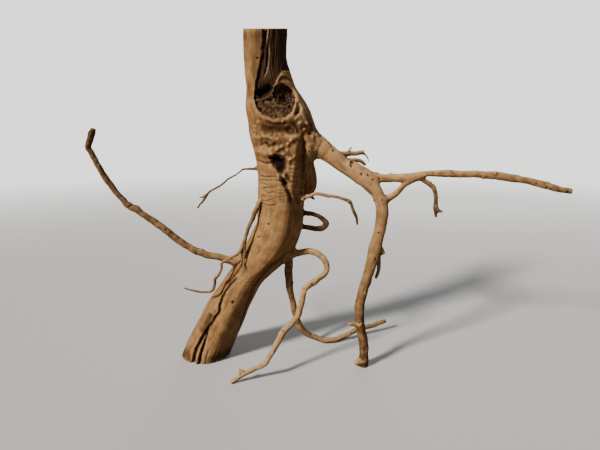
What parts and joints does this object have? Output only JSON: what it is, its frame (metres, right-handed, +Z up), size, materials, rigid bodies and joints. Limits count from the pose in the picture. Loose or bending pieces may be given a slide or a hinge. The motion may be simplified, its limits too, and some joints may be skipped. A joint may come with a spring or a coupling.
{
  "type": "dry root",
  "caption": "Dry, bark-free tree root that stands upright on its sawn trunk, with an arching side root and long thin roots to both sides.",
  "frame": {"origin": "centre of the root's footprint box, on the surface that it stands on", "axes": "+X to the right along the root's longest side, +Y away from the front, +Z up"},
  "size_m": [0.7913, 0.2441, 0.6056],
  "materials": {
    "dry_wood": "bare, sun-dried wood, matt, warm tan with a fine lengthwise grain, dark brown in its hollows"
  },
  "bodies": {
    "root": {"dry_root": "dry_wood"}
  },
  "joints": []
}
